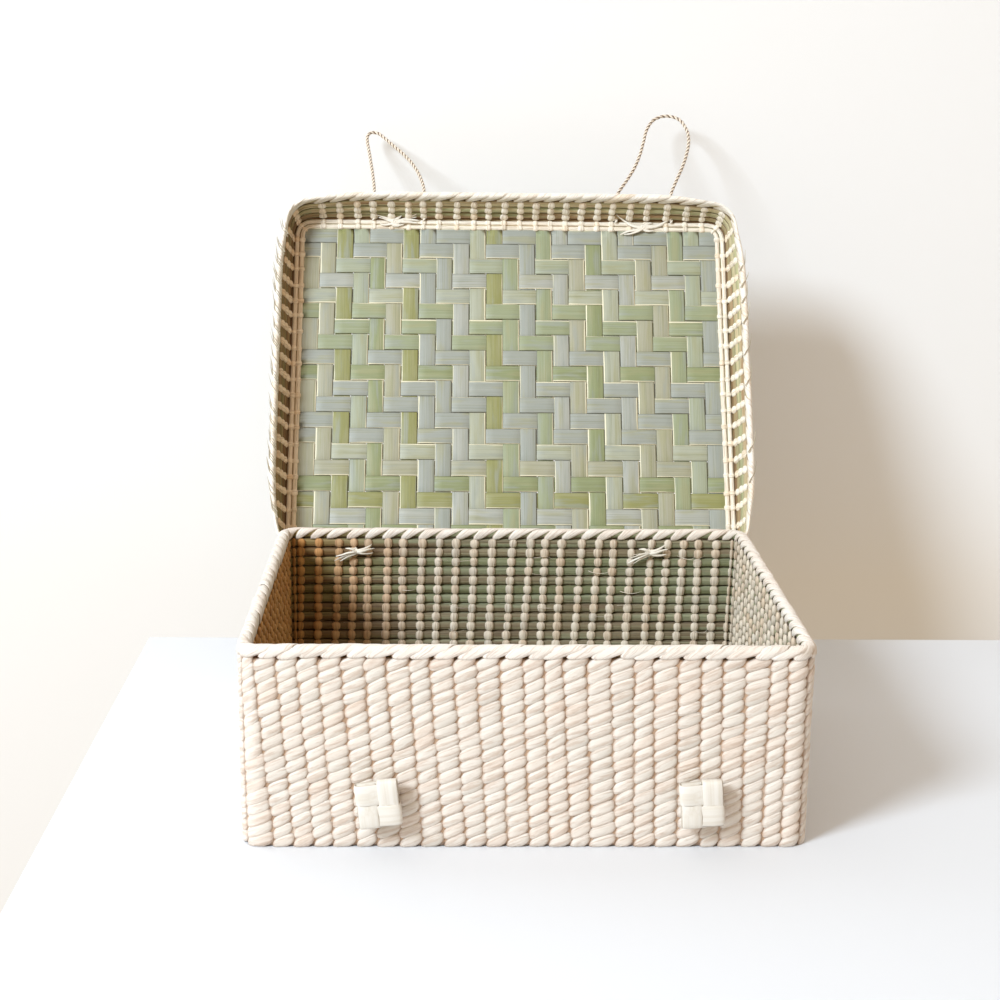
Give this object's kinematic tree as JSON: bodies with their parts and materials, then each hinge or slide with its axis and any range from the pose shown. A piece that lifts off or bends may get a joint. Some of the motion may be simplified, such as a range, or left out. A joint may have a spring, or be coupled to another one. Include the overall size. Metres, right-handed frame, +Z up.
{
  "type": "woven lidded box",
  "caption": "Hand-woven palm-leaf box with a deep plaited tray lid on cord hinges, closed by cord loops over plaited buttons, stored open.",
  "frame": {"origin": "middle of the base's underside", "axes": "+Z up, -Y out of the front wall that carries the buttons, +X to the right seen from the front"},
  "size_m": [0.3632, 0.5494, 0.4151],
  "materials": {
    "stitching": "matte",
    "leaf_course": "satin",
    "plaited_panel": "satin",
    "wrapped_rim": "satin",
    "button": "matte",
    "cord": "matte"
  },
  "bodies": {
    "basket": {"base_panel": "plaited_panel", "wall_course_01": "leaf_course", "wall_course_02": "leaf_course", "wall_course_03": "leaf_course", "wall_course_04": "leaf_course", "wall_course_05": "leaf_course", "wall_course_06": "leaf_course", "wall_course_07": "leaf_course", "wall_course_08": "leaf_course", "wall_course_09": "leaf_course", "wall_course_10": "leaf_course", "wall_course_11": "leaf_course", "wall_course_12": "leaf_course", "wall_course_13": "leaf_course", "wall_course_14": "leaf_course", "wall_course_15": "leaf_course", "wall_course_16": "leaf_course", "wall_course_17": "leaf_course", "front_stitching": "stitching", "right_stitching": "stitching", "back_stitching": "stitching", "left_stitching": "stitching", "front_right_corner": "stitching", "back_right_corner": "stitching", "back_left_corner": "stitching", "front_left_corner": "stitching", "body_rim": "wrapped_rim", "hinge_cord_left": "cord", "hinge_cord_right": "cord", "button_tie_left": "cord", "button_tie_right": "cord"},
    "lid": {"lid_panel": "plaited_panel", "lid_edge_course_1": "stitching", "lid_edge_course_2": "stitching", "lid_course_1": "leaf_course", "lid_course_2": "leaf_course", "lid_course_3": "leaf_course", "lid_front_stitching": "stitching", "lid_right_stitching": "stitching", "lid_back_stitching": "stitching", "lid_left_stitching": "stitching", "lid_front_right_corner": "stitching", "lid_back_right_corner": "stitching", "lid_back_left_corner": "stitching", "lid_front_left_corner": "stitching", "lid_rim": "wrapped_rim", "loop_tie_left": "cord", "loop_tie_right": "cord"},
    "loop_left": {"loop_left": "cord"},
    "loop_right": {"loop_right": "cord"},
    "button_left": {"button_left": "button"},
    "button_right": {"button_right": "button"}
  },
  "joints": [
    {"name": "lid_hinge", "type": "hinge", "parent": "basket", "child": "lid", "pos_m": [0, 0.1426, 0.105], "axis": [1, 0, 0], "range_deg": [-60, 120]},
    {"name": "loop_left_bend", "type": "hinge", "parent": "lid", "child": "loop_left", "pos_m": [-0.0885, 0.30757, 0.34554], "axis": [1, 0, 0], "range_deg": [-15, 121]},
    {"name": "loop_right_bend", "type": "hinge", "parent": "lid", "child": "loop_right", "pos_m": [0.106, 0.30757, 0.34554], "axis": [1, 0, 0], "range_deg": [-25, 111]},
    {"name": "button_left_swivel", "type": "hinge", "parent": "basket", "child": "button_left", "pos_m": [-0.087, -0.1425, 0.035], "axis": [0, 1, 0], "range_deg": [-20, 20]},
    {"name": "button_right_swivel", "type": "hinge", "parent": "basket", "child": "button_right", "pos_m": [0.1035, -0.1425, 0.035], "axis": [0, 1, 0], "range_deg": [-20, 20]}
  ]
}
